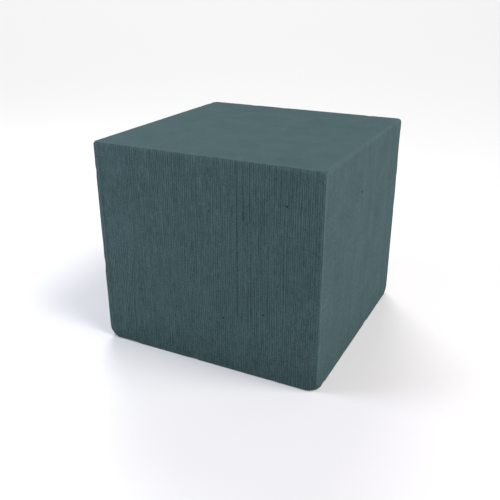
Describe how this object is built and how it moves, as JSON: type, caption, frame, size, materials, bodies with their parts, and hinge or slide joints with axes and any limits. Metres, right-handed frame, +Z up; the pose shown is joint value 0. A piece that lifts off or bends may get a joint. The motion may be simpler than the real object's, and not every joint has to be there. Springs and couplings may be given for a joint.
{
  "type": "floral foam brick",
  "caption": "Near-cubic block of floral foam, shown dry, with sawn faces, crisp edges and worn corners, for holding cut flower stems.",
  "frame": {"origin": "centre of the bottom face, which the block stands on", "axes": "+Z up, the shortest side; -Y faces out of the broad side with the deepest saw lines; +X faces out of the side next to it, on the right when the saw-lined side is seen from the front"},
  "size_m": [0.1, 0.1, 0.09],
  "materials": {
    "foam": "dead matt slate teal phenolic foam, fine open cells, faint vertical saw lines on the sides"
  },
  "bodies": {
    "root": {"foam_block": "foam"}
  },
  "joints": []
}
